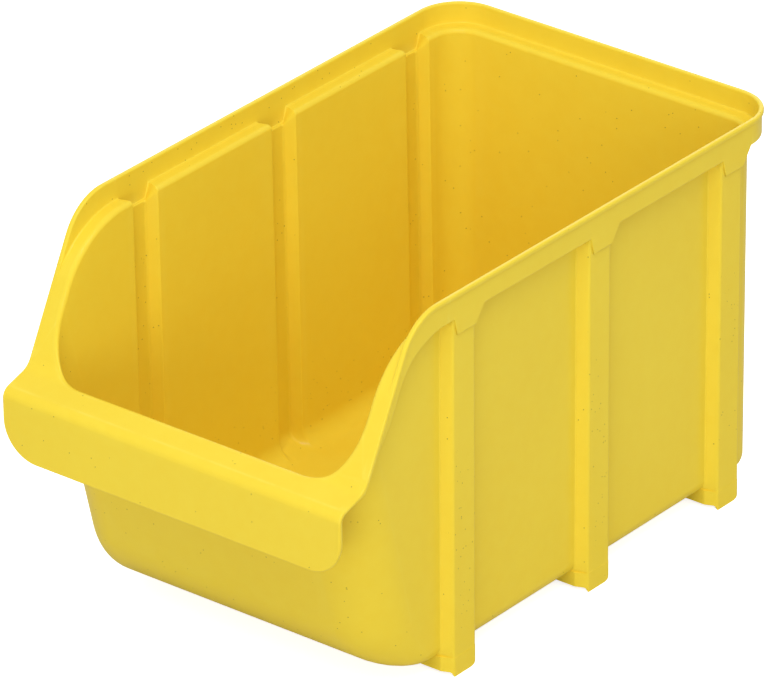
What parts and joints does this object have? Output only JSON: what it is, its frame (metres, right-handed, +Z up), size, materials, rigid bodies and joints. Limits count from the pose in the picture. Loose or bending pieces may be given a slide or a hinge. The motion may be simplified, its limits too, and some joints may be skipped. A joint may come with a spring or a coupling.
{
  "type": "stackable storage bin",
  "caption": "Open-fronted stacking bin for small parts, moulded in one piece, with ribbed sides, a stepped rim, sweeping front cut-outs and a rolled grip lip.",
  "frame": {"origin": "centre of the footprint at ground level, where the feet stand", "axes": "+Z up, the open front with its grip lip faces -Y, the back wall is at +Y, +X is the right side seen from the front"},
  "size_m": [0.21, 0.35, 0.209],
  "materials": {
    "yellow_plastic": "semi-gloss moulded polypropylene, yellow"
  },
  "bodies": {
    "root": {"floor_pan": "yellow_plastic", "front_sweep": "yellow_plastic", "front_wall": "yellow_plastic", "front_corner_left": "yellow_plastic", "front_corner_right": "yellow_plastic", "back_wall": "yellow_plastic", "back_corner_left": "yellow_plastic", "back_corner_right": "yellow_plastic", "panel_left_1": "yellow_plastic", "panel_left_2": "yellow_plastic", "panel_left_3": "yellow_plastic", "panel_left_4": "yellow_plastic", "panel_right_1": "yellow_plastic", "panel_right_2": "yellow_plastic", "panel_right_3": "yellow_plastic", "panel_right_4": "yellow_plastic", "rib_left_1": "yellow_plastic", "rib_left_2": "yellow_plastic", "rib_left_3": "yellow_plastic", "rib_right_1": "yellow_plastic", "rib_right_2": "yellow_plastic", "rib_right_3": "yellow_plastic", "foot_left_1": "yellow_plastic", "foot_left_2": "yellow_plastic", "foot_left_3": "yellow_plastic", "foot_right_1": "yellow_plastic", "foot_right_2": "yellow_plastic", "foot_right_3": "yellow_plastic", "tab_left_1": "yellow_plastic", "tab_left_2": "yellow_plastic", "tab_left_3": "yellow_plastic", "tab_right_1": "yellow_plastic", "tab_right_2": "yellow_plastic", "tab_right_3": "yellow_plastic", "rim_left": "yellow_plastic", "rim_right": "yellow_plastic", "rim_back": "yellow_plastic", "ledge_left": "yellow_plastic", "ledge_right": "yellow_plastic", "ledge_back": "yellow_plastic", "slope_flange_left": "yellow_plastic", "slope_flange_right": "yellow_plastic", "front_lip": "yellow_plastic", "front_apron": "yellow_plastic"}
  },
  "joints": []
}
